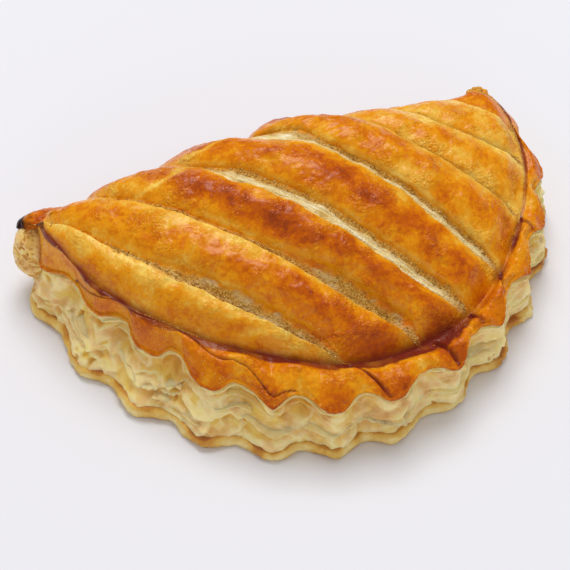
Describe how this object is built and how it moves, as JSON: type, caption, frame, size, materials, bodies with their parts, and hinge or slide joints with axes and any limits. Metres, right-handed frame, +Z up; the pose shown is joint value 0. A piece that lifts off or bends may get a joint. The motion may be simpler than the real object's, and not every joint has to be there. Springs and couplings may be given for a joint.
{
  "type": "turnover pastry",
  "caption": "Half-moon puff pastry turnover with diagonal slashes across its glazed dome, a scored and fluted rim, a layered side and a flat base.",
  "frame": {"origin": "middle of the bounding box's bottom face, on the flat base", "axes": "+X along the straight fold, -Y towards the fluted rim, +Z up"},
  "size_m": [0.158, 0.1024, 0.0483],
  "materials": {
    "baked_crust": "egg-washed golden puff pastry crust with a satin glaze, paler layers at the side"
  },
  "bodies": {
    "root": {"turnover": "baked_crust"}
  },
  "joints": []
}
